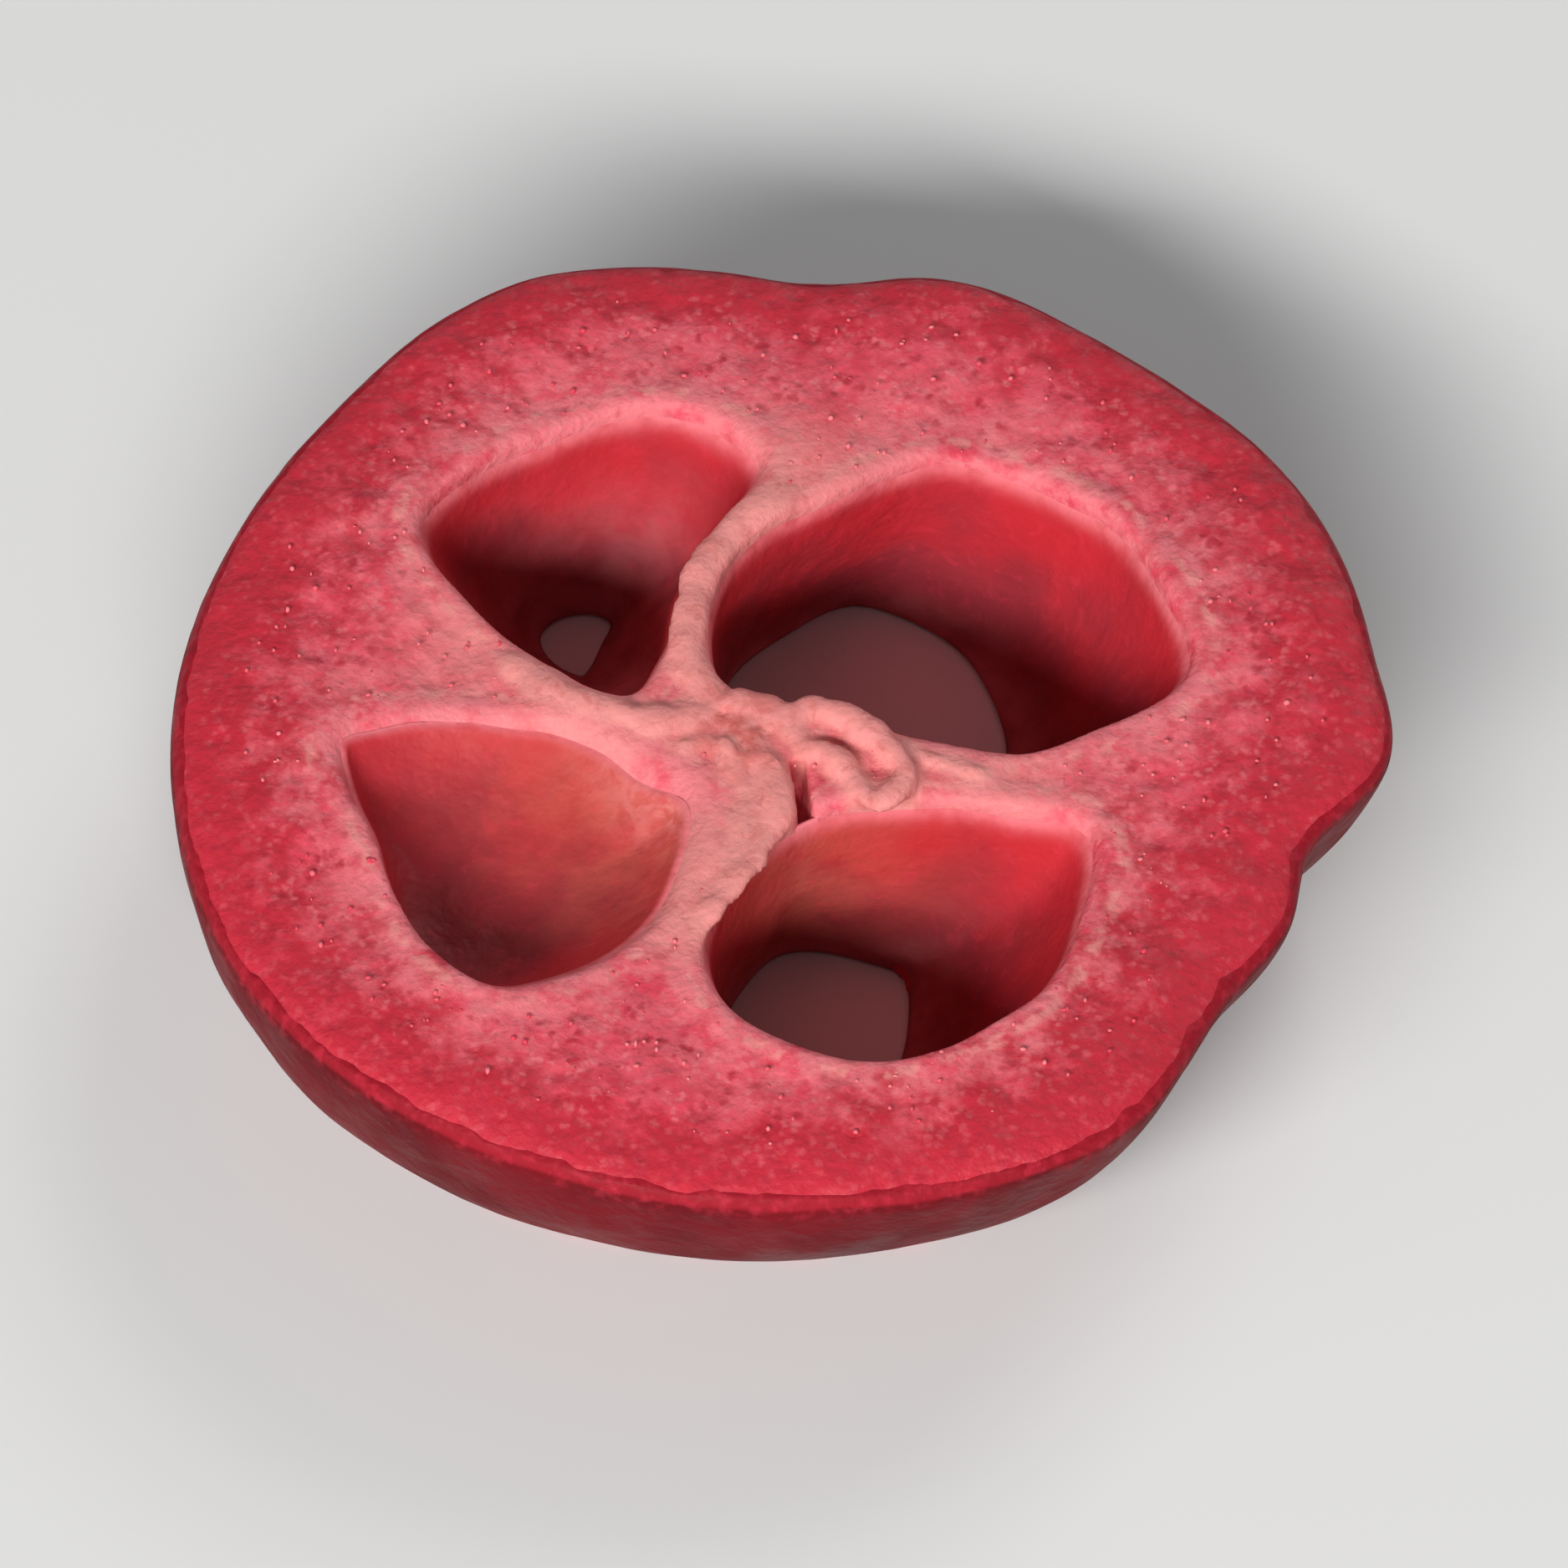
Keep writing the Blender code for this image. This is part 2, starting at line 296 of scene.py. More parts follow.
def outline_radius(angle):
    """Radius of the cut face's edge at angles in radians."""
    degrees = np.degrees(angle)
    radius = FACE_RADIUS
    for centre, half_width, change in OUTLINE_CHANGES:
        radius = radius + change * np.exp(-0.5 * (angle_gap(degrees, centre) / half_width) ** 2)
    return radius


def skin_share(depth):
    """Share of the face's radius that the skin keeps at a depth below the face."""
    berry = math.hypot(FACE_RADIUS, WIDEST_ABOVE_FACE)
    return np.sqrt(np.maximum(berry ** 2 - (WIDEST_ABOVE_FACE + depth) ** 2, 1.0)) / FACE_RADIUS


def face_height(x, y):
    """Height of the plain cut face over arrays of places."""
    gap = np.maximum(0.0, outline_radius(np.arctan2(y, x)) - np.hypot(x, y))
    swell = [
        FACE_SWELL * noise.noise(Vector((px / FACE_SWELL_LENGTH, py / FACE_SWELL_LENGTH, 2.7)))
        + FACE_RIPPLE * noise.noise(Vector((px / FACE_RIPPLE_LENGTH, py / FACE_RIPPLE_LENGTH, 8.1)))
        for px, py in zip(x.ravel().tolist(), y.ravel().tolist())
    ]
    height = THICKNESS - FACE_SWELL - FACE_RIPPLE + np.reshape(swell, x.shape)
    return height - RIM_DROP * np.exp(-gap / RIM_DROP_WIDTH)


def through_points(points, count, closed):
    """Points shared along a smooth curve that passes through the given ones."""
    points = np.array(points, float)
    spans = len(points) if closed else len(points) - 1
    place = spans * np.arange(count) / (count if closed else count - 1)
    span = np.minimum(place.astype(int), spans - 1)
    t = (place - span)[:, None]
    index = [span + k for k in (-1, 0, 1, 2)]
    if closed:
        index = [i % len(points) for i in index]
    a, b, c, d = (points[np.clip(i, 0, len(points) - 1)] for i in index)
    return 0.5 * (2 * b + (c - a) * t + (2 * a - 5 * b + 4 * c - d) * t ** 2
                  + (3 * b - a - 3 * c + d) * t ** 3)


def loop_distance(x, y, loop):
    """Distance of places to a closed outline, negative inside."""
    nearest = np.full(x.shape, np.inf)
    inside = np.zeros(x.shape, bool)
    for (ax, ay), (bx, by) in zip(loop, np.roll(loop, -1, axis=0)):
        ex, ey = bx - ax, by - ay
        t = np.clip(((x - ax) * ex + (y - ay) * ey) / (ex * ex + ey * ey), 0.0, 1.0)
        nearest = np.minimum(nearest, (x - ax - t * ex) ** 2 + (y - ay - t * ey) ** 2)
        crosses = (ay > y) != (by > y)
        inside ^= crosses & (x < ax + (y - ay) * ex / (ey if ey else 1e-9))
    return np.where(inside, -1.0, 1.0) * np.sqrt(nearest)


class Grid:
    """Values on a regular grid, and how to read them between its points."""

    def __init__(self, low, values, step):
        self.low = np.array(low, float)
        self.values = values
        self.step = step

    def at(self, places):
        """Values at places, by linear mixing."""
        local = (np.asarray(places) - self.low) / self.step
        limit = np.array(self.values.shape) - 1.001
        local = np.clip(local, 0.0, limit)
        low = local.astype(int)
        share = local - low
        total = 0.0
        for corner in np.ndindex(*(2,) * low.shape[-1]):
            weight = 1.0
            for axis, side in enumerate(corner):
                weight = weight * (share[..., axis] if side else 1.0 - share[..., axis])
            index = tuple(low[..., axis] + side for axis, side in enumerate(corner))
            total = total + weight * self.values[index]
        return total

    def slope(self, places):
        """Direction in which the values grow, as unit vectors."""
        places = np.asarray(places)
        result = np.empty(places.shape)
        for axis in range(places.shape[-1]):
            move = np.zeros(places.shape[-1])
            move[axis] = self.step
            result[..., axis] = self.at(places + move) - self.at(places - move)
        size = np.linalg.norm(result, axis=-1, keepdims=True)
        return result / np.maximum(size, 1e-9)

    def settle(self, places, level, limit, rounds=4):
        """Moves places onto the surface at a level of the field, each by no more than a limit."""
        start = np.array(places, float)
        places = start.copy()
        for _ in range(rounds):
            gap = self.at(places) - level
            places -= self.slope(places) * gap[..., None]
        move = places - start
        length = np.linalg.norm(move, axis=-1, keepdims=True)
        return start + move * np.minimum(1.0, limit / np.maximum(length, 1e-9))


def chamber_shape(chamber, share):
    """How far a chamber has closed in at a share of its depth: middle's shift and scale."""
    curve = WALL_CURVE if chamber["floor"] is None else FLOOR_CURVE
    close = np.clip(share, 0.0, 1.0) ** curve
    shift = np.array(chamber["drift"]) * close
    scale = 1.0 + (np.array(chamber["throat"]) - 1.0) * close
    return shift, scale


def rim_height(angle):
    """Height of the cut face at its edge."""
    edge = outline_radius(angle)
    return face_height(edge * np.cos(angle), edge * np.sin(angle))


def skin_shape(angle, share):
    """Radius and ripple of the skin, as in the solid, at angles and shares of its fall from the rim."""
    top = rim_height(angle)[:, None]
    radius = outline_radius(angle)[:, None] * skin_share(THICKNESS * share)
    level = top + (UNDERSIDE_LIFT - top) * share
    x, y = radius * np.cos(angle)[:, None], radius * np.sin(angle)[:, None]
    ripple = [SKIN_RIPPLE * noise.noise(Vector(place) / SKIN_RIPPLE_LENGTH)
              for place in zip(x.ravel().tolist(), y.ravel().tolist(), level.ravel().tolist())]
    return radius, np.reshape(ripple, radius.shape) * np.sin(math.pi * share)


def ribbon_line(width, height, points, index):
    """Middle line of a ribbon, and its half width and half height along the way."""
    line = through_points(points, RIBBON_POINTS, closed=False)
    wander = [flat_grain(*line.T, 0.40, seed + index) for seed in (81, 91)]
    line = line + 0.05 * np.column_stack(wander)
    ends = np.minimum(np.arange(RIBBON_POINTS), RIBBON_POINTS - 1 - np.arange(RIBBON_POINTS))
    taper = np.minimum(1.0, ends / 16.0 + 0.25)
    bulge = 1.0 + 0.38 * flat_grain(*line.T, 0.22, 101 + index)
    return line, width * taper * bulge, height * taper


def add_ribbons(body, axes, top):
    """Lays the ribbons of the core on the body, and gives the flat map of how near they are."""
    across, upward = axes[0].ravel(), axes[2].ravel()
    near = np.full(top.values.shape, FAR)
    ribbons = np.full(body.shape, FAR, np.float32)
    for index, (width, height, rise, points) in enumerate(RIBBONS.values()):
        line, width, height = ribbon_line(width, height, points, index)
        level = top.at(line) + rise
        level = level + 0.05 * flat_grain(*line.T, 0.24, 111 + index)
        low = np.searchsorted(across, line.min(axis=0) - 0.7)
        high = np.searchsorted(across, line.max(axis=0) + 0.7)
        floor = np.searchsorted(upward, level.min() - 0.6)
        box = (slice(low[0], high[0]), slice(low[1], high[1]))
        x, y = across[box[0]][:, None], across[box[1]][None, :]
        z = upward[floor:]
        for (px, py), half_width, half_height, pz in zip(line, width, height, level):
            flat = (x - px) ** 2 + (y - py) ** 2
            near[box] = np.minimum(near[box], np.sqrt(flat) - half_width)
            reach = flat[:, :, None] / half_width ** 2 + (z - pz) ** 2 / half_height ** 2
            distance = (np.sqrt(reach) - 1.0) * min(half_width, half_height)
            target = ribbons[box[0], box[1], floor:]
            np.minimum(target, distance, out=target)
    return smooth_min(body, ribbons, BLEND_RIBBON), near


def cut_slit(body, axes, top):
    """Cuts the narrow slit between the core's loop and its front strand."""
    x, y, z = axes
    level = top.at(np.array(SLIT).mean(axis=0))
    slit = np.full(body.shape, FAR, np.float32)
    for px, py in through_points(SLIT, RIBBON_POINTS // 4, closed=False):
        reach = ((x - px) ** 2 + (y - py) ** 2) / SLIT_HALF_WIDTH ** 2 + ((z - level) / SLIT_DEPTH) ** 2
        np.minimum(slit, (np.sqrt(reach) - 1.0) * SLIT_HALF_WIDTH, out=slit)
    return smooth_max(body, -slit, 0.05)


def side_distance(x, y, z, fx, fy):
    """Distance from the skin's surface, as in the solid, negative inside."""
    angle = np.linspace(-math.pi, math.pi, 2 * SEGMENTS + 1)
    ripple = Grid((0.0, 0.0), skin_shape(angle, np.linspace(0.0, 1.0, 4 * SKIN_STEPS + 1))[1], 1.0)
    rim_here = np.interp(np.arctan2(fy, fx), angle, rim_height(angle))[:, :, None]
    share = np.clip((rim_here - z) / (rim_here - UNDERSIDE_LIFT), 0.0, 1.0)
    sx = x - UNDERSIDE_SHIFT[0] * share
    sy = y - UNDERSIDE_SHIFT[1] * share
    turn = np.arctan2(sy, sx)
    limit = outline_radius(turn) * skin_share(THICKNESS * share)
    steps = np.array(ripple.values.shape) - 1
    place = np.stack(((turn + math.pi) / math.tau * steps[0], share * steps[1]), -1)
    return (np.hypot(sx, sy) - limit - ripple.at(place)) * 0.95


def chamber_distance(chamber, flat, loop, fx, fy, warp, upward):
    """Distance from a chamber's wall, level by level, negative inside the chamber."""
    middle = loop.mean(axis=0)
    centre = (loop.min(axis=0) + loop.max(axis=0)) / 2
    half = (loop.max(axis=0) - loop.min(axis=0)) * 0.46
    full = THICKNESS if chamber["floor"] is None else chamber["floor"]
    wall = np.empty(warp[0].shape, np.float32)
    for k, level in enumerate(upward):
        share = (THICKNESS - level) / full
        shift, scale = chamber_shape(chamber, share)
        px = middle[0] + (fx + warp[0][:, :, k] - middle[0] - shift[0]) / scale[0]
        py = middle[1] + (fy + warp[1][:, :, k] - middle[1] - shift[1]) / scale[1]
        oval = (np.hypot((px - centre[0]) / half[0], (py - centre[1]) / half[1]) - 1.0) * half.min()
        round_share = MOUTH_ROUNDING * np.clip(share, 0.0, 1.0)
        nearby = flat.at(np.stack((px, py), -1)) * (1.0 - round_share) + oval * round_share
        wall[:, :, k] = nearby * scale.mean()
    return wall


def build_fields():
    """The plain slice, its chambers, and flat maps of the face, the underside and the mouths."""
    reach = FACE_RADIUS + 0.6 + GRID_MARGIN
    across = np.arange(-reach, reach + GRID_STEP, GRID_STEP)
    upward = np.arange(-GRID_MARGIN, THICKNESS + 0.3 + GRID_MARGIN, GRID_STEP)
    fx, fy = np.meshgrid(across, across, indexing="ij")
    x, y, z = across[:, None, None], across[None, :, None], upward[None, None, :]
    low = (across[0], across[0], upward[0])

    side = side_distance(x, y, z, fx, fy)
    warp = [0.07 * grain(x, y, z, 1.0, seed) for seed in (21, 22)]
    hollow = np.full(side.shape, np.inf, np.float32)
    mouths = []
    for chamber in CHAMBERS.values():
        loop = through_points(chamber["mouth"], MOUTH_POINTS, closed=True)
        flat = Grid(low[:2], loop_distance(fx, fy, loop), GRID_STEP)
        mouths.append(flat.values)
        wall = chamber_distance(chamber, flat, loop, fx, fy, warp, upward)
        if chamber["floor"] is not None:
            bed = THICKNESS - chamber["floor"] + 0.05 * flat_grain(x, y, 1.3, 31)
            wall = smooth_max(wall, bed - z, FLOOR_ROUND)
        hollow = np.minimum(hollow, wall)

    edge = outline_radius(np.arctan2(fy, fx)) * skin_share(THICKNESS)
    gap = edge - np.hypot(fx - UNDERSIDE_SHIFT[0], fy - UNDERSIDE_SHIFT[1])
    nearest, second = np.sort(mouths, axis=0)[:2]
    maps = {
        "top": face_height(fx, fy),
        "underside": np.maximum(0.0, UNDERSIDE_LIFT * (1.0 - gap / UNDERSIDE_LIFT_WIDTH)),
        "nearest": nearest,
        "partition": nearest + second,
    }
    maps = {label: Grid(low[:2], values, GRID_STEP) for label, values in maps.items()}
    return {"low": low, "axes": (x, y, z), "flat": (fx, fy), "side": side, "hollow": hollow, "maps": maps}


def surface_of(grid):
    """Corners and quads of the surface where a field is zero, one corner for each grid cell it crosses."""
    field = grid.values
    inside = field < 0.0
    eight = [inside[i:field.shape[0] - 1 + i, j:field.shape[1] - 1 + j, k:field.shape[2] - 1 + k]
             for i in (0, 1) for j in (0, 1) for k in (0, 1)]
    count = np.sum(eight, axis=0)
    cells = np.argwhere((count > 0) & (count < 8))
    number = np.full(count.shape, -1, np.int64)
    number[tuple(cells.T)] = np.arange(len(cells))

    total = np.zeros((len(cells), 3))
    hits = np.zeros(len(cells))
    for axis in range(3):
        others = [a for a in range(3) if a != axis]
        for i in (0, 1):
            for j in (0, 1):
                start = np.zeros(3, int)
                start[others[0]] = i
                start[others[1]] = j
                end = start.copy()
                end[axis] = 1
                a = field[tuple((cells + start).T)]
                b = field[tuple((cells + end).T)]
                crossed = (a < 0.0) != (b < 0.0)
                t = np.where(crossed, a / np.where(crossed, a - b, 1.0), 0.0)
                point = np.tile(start.astype(float), (len(cells), 1))
                point[:, axis] = t
                total += point * crossed[:, None]
                hits += crossed
    corners = grid.low + (cells + total / hits[:, None]) * grid.step

    quads = []
    for axis in range(3):
        first, second = (axis + 1) % 3, (axis + 2) % 3
        ahead = np.roll(inside, -1, axis=axis)
        edges = np.argwhere(inside != ahead)
        keep = (edges[:, axis] < field.shape[axis] - 1)
        keep &= (edges[:, first] > 0) & (edges[:, second] > 0)
        keep &= (edges[:, first] < field.shape[first] - 1) & (edges[:, second] < field.shape[second] - 1)
        edges = edges[keep]
        ring = []
        for i, j in ((1, 1), (0, 1), (0, 0), (1, 0)):
            cell = edges.copy()
            cell[:, first] -= i
            cell[:, second] -= j
            ring.append(number[tuple(cell.T)])
        ring = np.stack(ring, axis=1)
        outward = inside[tuple(edges.T)]
        ring[~outward] = ring[~outward][:, ::-1]
        quads.append(ring)
    return corners, np.concatenate(quads)


def mesh_object(name, corners, faces, material, masks=None):
    """A smooth mesh in metres from corners in mm, with its masks as attributes."""
    data = bpy.data.meshes.new(name)
    sides = faces.shape[1]
    data.vertices.add(len(corners))
    data.vertices.foreach_set("co", (np.asarray(corners) * MM).astype(np.float32).ravel())
    data.loops.add(faces.size)
    data.loops.foreach_set("vertex_index", faces.astype(np.int32).ravel())
    data.polygons.add(len(faces))
    data.polygons.foreach_set("loop_start", np.arange(0, faces.size, sides, dtype=np.int32))
    data.update(calc_edges=True)
    data.validate()
    for label, values in (masks or {}).items():
        layer = data.attributes.new(label, "FLOAT", "POINT")
        layer.data.foreach_set("value", np.asarray(values, np.float32))
    data.materials.append(material)
    data.shade_smooth()
    piece = bpy.data.objects.new(name, data)
    bpy.context.scene.collection.objects.link(piece)
    return piece


def dress(piece):
    """Sets a piece on the slice's body in place of the plain solid."""
    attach(piece, BODY)
    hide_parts(NODE)


def slice_middle():
    """Middle of the slice's outline, which the solid sets over the origin."""
    angle = math.tau * np.arange(SEGMENTS) / SEGMENTS
    share = np.linspace(0.0, 1.0, SKIN_STEPS + 1)
    radius = np.sum(skin_shape(angle, share), axis=0)
    x = radius * np.cos(angle)[:, None] + UNDERSIDE_SHIFT[0] * share
    y = radius * np.sin(angle)[:, None] + UNDERSIDE_SHIFT[1] * share
    return np.array(((x.min() + x.max()) / 2, (y.min() + y.max()) / 2, 0.0))


MIDDLE = slice_middle()
SHARED = {}


def fields():
    """The fields, worked out once."""
    if not SHARED:
        SHARED.update(build_fields())
    return SHARED


def join(tree, source, target):
    """Links a node's output to a socket, or sets the socket to a plain value."""
    if isinstance(source, bpy.types.NodeSocket):
        tree.links.new(source, target)
    else:
        target.default_value = source


def new_node(tree, kind, inputs, **settings):
    """A shader node with its settings, and its inputs as outputs of other nodes or plain values."""
    node = tree.nodes.new("ShaderNode" + kind)
    for name, value in settings.items():
        setattr(node, name, value)
    for name, source in inputs.items():
        join(tree, source, node.inputs[name])
    return node


class Nodes:
    """Short ways to lay out a material's nodes."""

    def __init__(self, name):
        self.material = bpy.data.materials.new(name)
        self.material.use_nodes = True
        self.tree = self.material.node_tree
        place = self.add("TexCoord", {}).outputs["Object"]
        scale = self.add("VectorMath", {0: place, "Scale": 1.0 / MM}, operation="SCALE")
        self.place = scale.outputs["Vector"]

    def add(self, kind, inputs, **settings):
        """A new node of this material."""
        return new_node(self.tree, kind, inputs, **settings)

    def finish(self, **inputs):
        """Sets the shader's inputs, and gives the material."""
        shader = self.tree.nodes["Principled BSDF"]
        for name, source in inputs.items():
            join(self.tree, source, shader.inputs[name.replace("_", " ")])
        return self.material

    def mask(self, label):
        """A mask stored on the mesh."""
        return self.add("Attribute", {}, attribute_name=label).outputs["Fac"]

    def noise(self, size, detail=3.0, roughness=0.5, distortion=0.0):
        """Noise whose bumps are about size mm wide."""
        inputs = {"Vector": self.place, "Scale": 1.0 / size, "Detail": detail,
                  "Roughness": roughness, "Distortion": distortion}
        return self.add("TexNoise", inputs).outputs["Fac"]

    def cells(self, size):
        """Uneven cell pattern whose cells are about size mm wide."""
        warp = self.add("TexNoise", {"Vector": self.place, "Scale": 1.3 / size})
        inputs = {0: warp.outputs["Color"], 1: (1.1 * size,) * 3, 2: self.place}
        moved = self.add("VectorMath", inputs, operation="MULTIPLY_ADD").outputs["Vector"]
        return self.add("TexVoronoi", {"Vector": moved, "Scale": 1.0 / size}).outputs["Distance"]

    def ramp(self, source, low, high, start=0.0, end=1.0):
        """Maps a range of values smoothly to another one."""
        inputs = {"Value": source, "From Min": low, "From Max": high, "To Min": start, "To Max": end}
        return self.add("MapRange", inputs, interpolation_type="SMOOTHSTEP").outputs["Result"]

    def blotches(self, size, low, high, start=0.0, end=1.0):
        """Soft noise, with a range of it mapped to another one."""
        return self.ramp(self.noise(size), low, high, start, end)

    def crumble(self, size, low, high, start=0.0, end=1.0):
        """The same from rougher noise."""
        return self.ramp(self.noise(size, 4.0, 0.6), low, high, start, end)

    def math(self, operation, first, *others):
        """One operation on two values, or on several in turn."""
        for other in others:
            first = self.add("Math", {0: first, 1: other}, operation=operation).outputs[0]
        return first

    def mix(self, share, a, b):
        """Mixes two colours."""
        return self.add("Mix", {"Factor": share, "A": a, "B": b}, data_type="RGBA").outputs["Result"]

    def bump(self, height, distance, under=None):
        """Relief too fine for the mesh, its distance in mm, over other relief."""
        inputs = {"Height": height, "Strength": 1.0, "Distance": distance * MM}
        if under is not None:
            inputs["Normal"] = under
        return self.add("Bump", inputs).outputs["Normal"]


def color_property(label, description, default):
    """A colour that a user may change."""
    return FloatVectorProperty(name=label, description=description, subtype="COLOR",
                               size=4, min=0.0, max=1.0, default=(*default, 1.0))


def length_property(label, description, default_mm):
    """A length that a user may change."""
    return FloatProperty(name=label, description=description, subtype="DISTANCE",
                         unit="LENGTH", precision=6, default=default_mm * MM)


class CranberryShape(bpy.types.PropertyGroup):
    """Sizes of the relief and of the membranes."""

    lip_height: length_property("Lip height", "How far a chamber's lip stands up", 0.035)
    lip_width: length_property("Lip width", "Half width of a chamber's lip", 0.24)
    grain_height: length_property("Grain height", "Height of the crumbly grain of the flesh", 0.024)
    pore_depth: length_property("Pore depth", "Depth of the pores in the cut faces", 0.055)
    pores: IntProperty(name="Pores", description="Number of pores in each cut face", default=1000, min=0)
    skin_thickness: length_property("Skin thickness", "Thickness of the skin", 0.05)
    lining_thickness: length_property("Lining thickness", "Thickness of a chamber's lining", 0.04)
    crumbs: IntProperty(name="Crumbs", description="Number of loose grains on the face", default=300, min=0)


class CranberryColours(bpy.types.PropertyGroup):
    """Colours of the dry fruit."""

    flesh: color_property("Flesh", "Flesh between the chambers and the skin", (0.68, 0.044, 0.080))
    flesh_light: color_property("Light flesh", "Lighter patches of the flesh", (0.74, 0.078, 0.122))
    flesh_pale: color_property("Pale flesh", "Flesh beside the chambers", (0.79, 0.195, 0.220))
    flesh_rim: color_property("Flesh rim", "Flesh under the skin", (0.52, 0.017, 0.036))
    core: color_property("Core", "Partitions and ribbons of the core", (0.78, 0.270, 0.250))
    # Used for the core's own mottling and for painted shade in its heart and creases.
    core_dark_and_shade: color_property("Dark core", "Darker patches of the core", (0.55, 0.105, 0.090))
    pore: color_property("Pore", "Specks and bottoms of the pores", (0.45, 0.016, 0.036))
    skin: color_property("Skin", "Skin", (0.150, 0.0036, 0.0080))
    skin_dark: color_property("Dark skin", "Darker patches of the skin", (0.100, 0.0024, 0.0055))
    lining: color_property("Lining", "Lining near the mouth", (0.50, 0.022, 0.032))
    # Painted shade: the lining's darker colour towards the chambers' bottoms.
    lining_painted_shade: color_property("Deep lining", "Lining near the bottom", (0.265, 0.023, 0.033))
    # Partly the thin membrane's paler colour, partly painted glassy sheen.
    lining_thin_and_sheen: color_property("Thin lining", "Lining at its lower end", (0.52, 0.125, 0.140))
    lining_core: color_property("Core lining", "Thin lining beside the core", (0.58, 0.110, 0.075))


class CranberryStage(bpy.types.PropertyGroup):
    """Camera, floor and lights."""

    elevation: FloatProperty(name="Elevation", description="Camera's angle above the floor",
                             subtype="ANGLE", unit="ROTATION", default=math.radians(52))
    distance: FloatProperty(name="Distance", description="Distance from the slice to the camera",
                            subtype="DISTANCE", unit="LENGTH", default=0.33)
    view_width: length_property("View width", "Width that the camera sees at the slice", 19.4)
    key_power: FloatProperty(name="Key power", description="Power of the main light",
                             unit="POWER", default=1.28)
    fill_power: FloatProperty(name="Fill power", description="Power of the fill light",
                              unit="POWER", default=0.42)
    sky: FloatProperty(name="Sky", description="Strength of the light from all round",
                       subtype="FACTOR", default=0.26, min=0.0, max=2.0)


def flesh_material(colours):
    """Dry, crumbly flesh: pink, paler at the chambers, crimson under the skin, and cream at the core, with
    painted shade in the creases beside its ribbons and partly in its heart.
    """
    nodes = Nodes("dried_flesh")
    rim, pale, core = nodes.mask("rim"), nodes.mask("pale"), nodes.mask("core")
    colour = nodes.mix(nodes.crumble(0.50, 0.36, 0.66), colours.flesh, colours.flesh_light)
    near = nodes.math("MULTIPLY", pale, nodes.crumble(0.40, 0.28, 0.60))
    colour = nodes.mix(near, colour, colours.flesh_pale)
    under_skin = nodes.math("ADD", rim, nodes.crumble(0.45, 0.3, 0.7, -0.28, 0.28))
    colour = nodes.mix(nodes.ramp(under_skin, 0.12, 0.85), colour, colours.flesh_rim)

    crust = nodes.math("MINIMUM", nodes.ramp(pale, 0.80, 0.87), nodes.ramp(pale, 0.90, 0.96, 1.0, 0.0))
    crust = nodes.math("MULTIPLY", crust, nodes.blotches(0.30, 0.46, 0.60, 0.0, 0.75))
    colour = nodes.mix(crust, colour, colours.core)
    dots = nodes.math("MULTIPLY", nodes.ramp(nodes.cells(0.15), 0.10, 0.55, 0.70, 0.0),
                      nodes.crumble(0.35, 0.34, 0.62), nodes.ramp(rim, 0.2, 1.0, 1.0, 0.30))
    colour = nodes.mix(dots, colour, colours.flesh_pale)
    speck = nodes.math("MULTIPLY", nodes.ramp(nodes.cells(0.26), 0.12, 0.46, 0.90, 0.0),
                       nodes.blotches(0.5, 0.40, 0.58), nodes.ramp(pale, 0.50, 0.92, 1.0, 0.30))
    speck = nodes.math("MAXIMUM", speck, nodes.mask("pit"))
    speck = nodes.math("MULTIPLY", speck, nodes.ramp(core, 0.0, 0.7, 1.0, 0.15))
    colour = nodes.mix(speck, colour, colours.pore)

    # Darker blotches in the core's heart, partly its own mottling and partly painted shade between strands;
    # painted shade in the creases beside the ribbons; stains are the core's own mottling.
    knot = nodes.math("MULTIPLY", nodes.mask("knot"), nodes.blotches(0.28, 0.38, 0.62, 0.15, 1.0))
    stains = nodes.ramp(nodes.noise(0.26, 5.0, 0.65, 0.8), 0.48, 0.72, 0.0, 0.55)
    crease = nodes.math("MULTIPLY", nodes.mask("crease"), nodes.blotches(0.35, 0.35, 0.65, 0.4, 1.0))
    dark = nodes.math("MAXIMUM", knot, stains, crease)
    colour = nodes.mix(core, colour, nodes.mix(dark, colours.core, colours.core_dark_and_shade))
    colour = nodes.mix(nodes.mask("deep"), colour, colours.lining)

    rough = nodes.ramp(core, 0.0, 1.0, 1.0, 0.85)
    coarse = nodes.bump(nodes.math("MULTIPLY", nodes.noise(0.24, 4.0, 0.6), rough), 0.030)
    return nodes.finish(
        Base_Color=colour,
        Roughness=nodes.blotches(0.3, 0.3, 0.7, 0.58, 0.85),
        Normal=nodes.bump(nodes.math("MULTIPLY", nodes.cells(0.12), rough), 0.014, coarse),
        Specular_IOR_Level=0.32,
        Subsurface_Weight=0.12,
        Subsurface_Radius=(1.0, 0.25, 0.2),
        Subsurface_Scale=0.30 * MM,
    )


def skin_material(colours):
    """Satin crimson skin with darker patches."""
    nodes = Nodes("dried_skin")
    edge = nodes.mask("edge")
    patch = nodes.ramp(nodes.noise(1.8, 4.0, 0.55), 0.40, 0.68)
    colour = nodes.mix(patch, colours.skin, colours.skin_dark)
    mottle = nodes.math("MULTIPLY", nodes.blotches(0.16, 0.45, 0.7, 0.0, 0.30), edge)
    colour = nodes.mix(mottle, colour, colours.flesh)
    colour = nodes.mix(nodes.ramp(edge, 0.70, 1.0, 0.0, 0.40), colour, colours.flesh_rim)
    wrinkle = nodes.bump(nodes.noise(0.5, 3.0, 0.5, 0.6), 0.06)
    return nodes.finish(
        Base_Color=colour,
        Roughness=nodes.blotches(0.8, 0.3, 0.7, 0.44, 0.64),
        Normal=nodes.bump(nodes.cells(0.16), 0.012, wrinkle),
        Specular_IOR_Level=0.09,
    )


